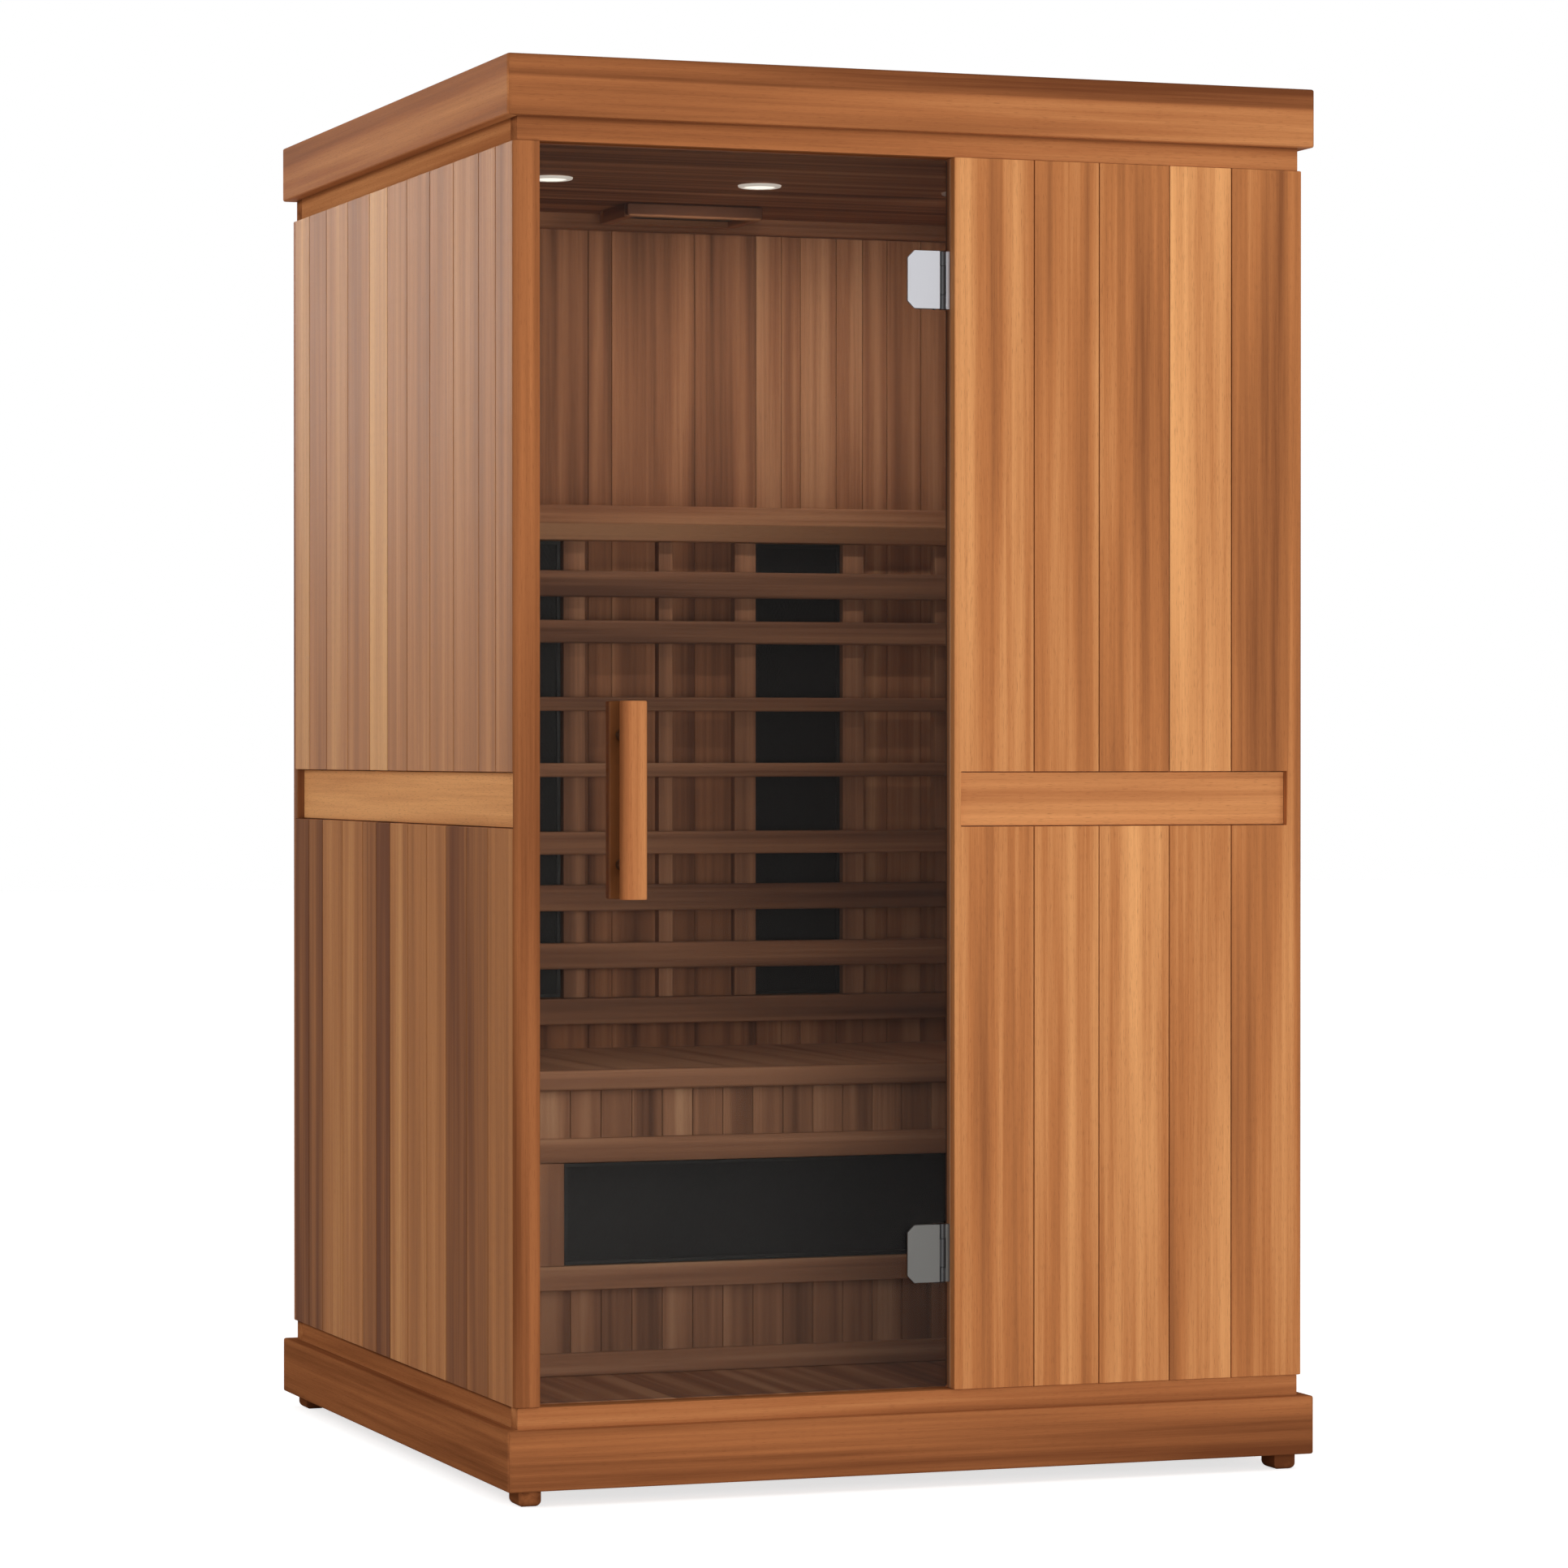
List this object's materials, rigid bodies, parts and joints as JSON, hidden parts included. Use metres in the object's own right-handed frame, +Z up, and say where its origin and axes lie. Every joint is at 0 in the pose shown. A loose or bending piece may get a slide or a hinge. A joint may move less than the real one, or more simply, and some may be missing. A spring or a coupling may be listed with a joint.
{
  "type": "infrared sauna cabin",
  "caption": "Free-standing wooden infrared sauna cabin on feet, with a hinged glass door, a bench, a slatted backrest and flat mesh heaters.",
  "frame": {"origin": "on the floor under the middle of the cabin, at the underside of the feet", "axes": "+Z up, -Y out of the door side, +X to the right as seen by someone facing the door"},
  "size_m": [1.188, 1.214, 1.95],
  "materials": {
    "trim_cedar": "oiled red cedar, grain along the board",
    "board_cedar": "oiled red cedar boards, upright grain",
    "lining_cedar": "bare red cedar boards",
    "slat_cedar": "bare red cedar, sanded smooth",
    "roof_plywood": "unfinished plywood",
    "heater_mesh": "matt black mesh",
    "hinge_steel": "satin",
    "tinted_glass": "clear bronze tint",
    "lamp_white": "white lens and bezel",
    "dark_plastic": "matt dark grey"
  },
  "bodies": {
    "cabin": {"base_trim_front": "trim_cedar", "base_trim_right": "trim_cedar", "base_trim_rear": "trim_cedar", "base_trim_left": "trim_cedar", "floor_frame": "trim_cedar", "foot_front_left": "trim_cedar", "foot_front_right": "trim_cedar", "foot_rear_left": "trim_cedar", "foot_rear_right": "trim_cedar", "left_belt_rail": "trim_cedar", "right_belt_rail": "trim_cedar", "front_belt_rail": "trim_cedar", "door_post": "trim_cedar", "roof_fascia_front": "trim_cedar", "roof_fascia_right": "trim_cedar", "roof_fascia_rear": "trim_cedar", "roof_fascia_left": "trim_cedar", "roof_frame": "trim_cedar", "left_cladding": "board_cedar", "right_cladding": "board_cedar", "rear_cladding": "board_cedar", "front_cladding": "board_cedar", "floor_deck": "lining_cedar", "left_lining": "lining_cedar", "right_lining": "lining_cedar", "rear_lining": "lining_cedar", "front_lining": "lining_cedar", "ceiling_lining": "lining_cedar", "ceiling_crown": "lining_cedar", "kick_panel": "lining_cedar", "bench_seat": "slat_cedar", "bench_nosing": "slat_cedar", "kick_skirting": "slat_cedar", "kick_heater_frame": "slat_cedar", "backrest_frame": "slat_cedar", "backrest_slat_1": "slat_cedar", "backrest_slat_2": "slat_cedar", "backrest_slat_3": "slat_cedar", "backrest_slat_4": "slat_cedar", "backrest_slat_5": "slat_cedar", "backrest_slat_6": "slat_cedar", "backrest_slat_7": "slat_cedar", "backrest_ledge": "slat_cedar", "ceiling_lamp": "slat_cedar", "roof_cover": "roof_plywood", "kick_heater": "heater_mesh", "rear_heater_left": "heater_mesh", "rear_heater_right": "heater_mesh", "hinge_bracket_upper": "hinge_steel", "hinge_bracket_lower": "hinge_steel", "ceiling_light_1": "lamp_white", "ceiling_light_2": "lamp_white", "ceiling_light_3": "lamp_white", "power_supply": "dark_plastic", "touch_panel": "dark_plastic"},
    "door": {"door_glass": "tinted_glass", "door_handle_outer": "trim_cedar", "door_handle_inner": "trim_cedar", "hinge_clamp_upper": "hinge_steel", "hinge_clamp_lower": "hinge_steel"}
  },
  "joints": [
    {"name": "door_hinge", "type": "hinge", "parent": "cabin", "child": "door", "pos_m": [0.0425, -0.572, 0.9945], "axis": [0, 0, 1], "range_deg": [0, 90]}
  ]
}
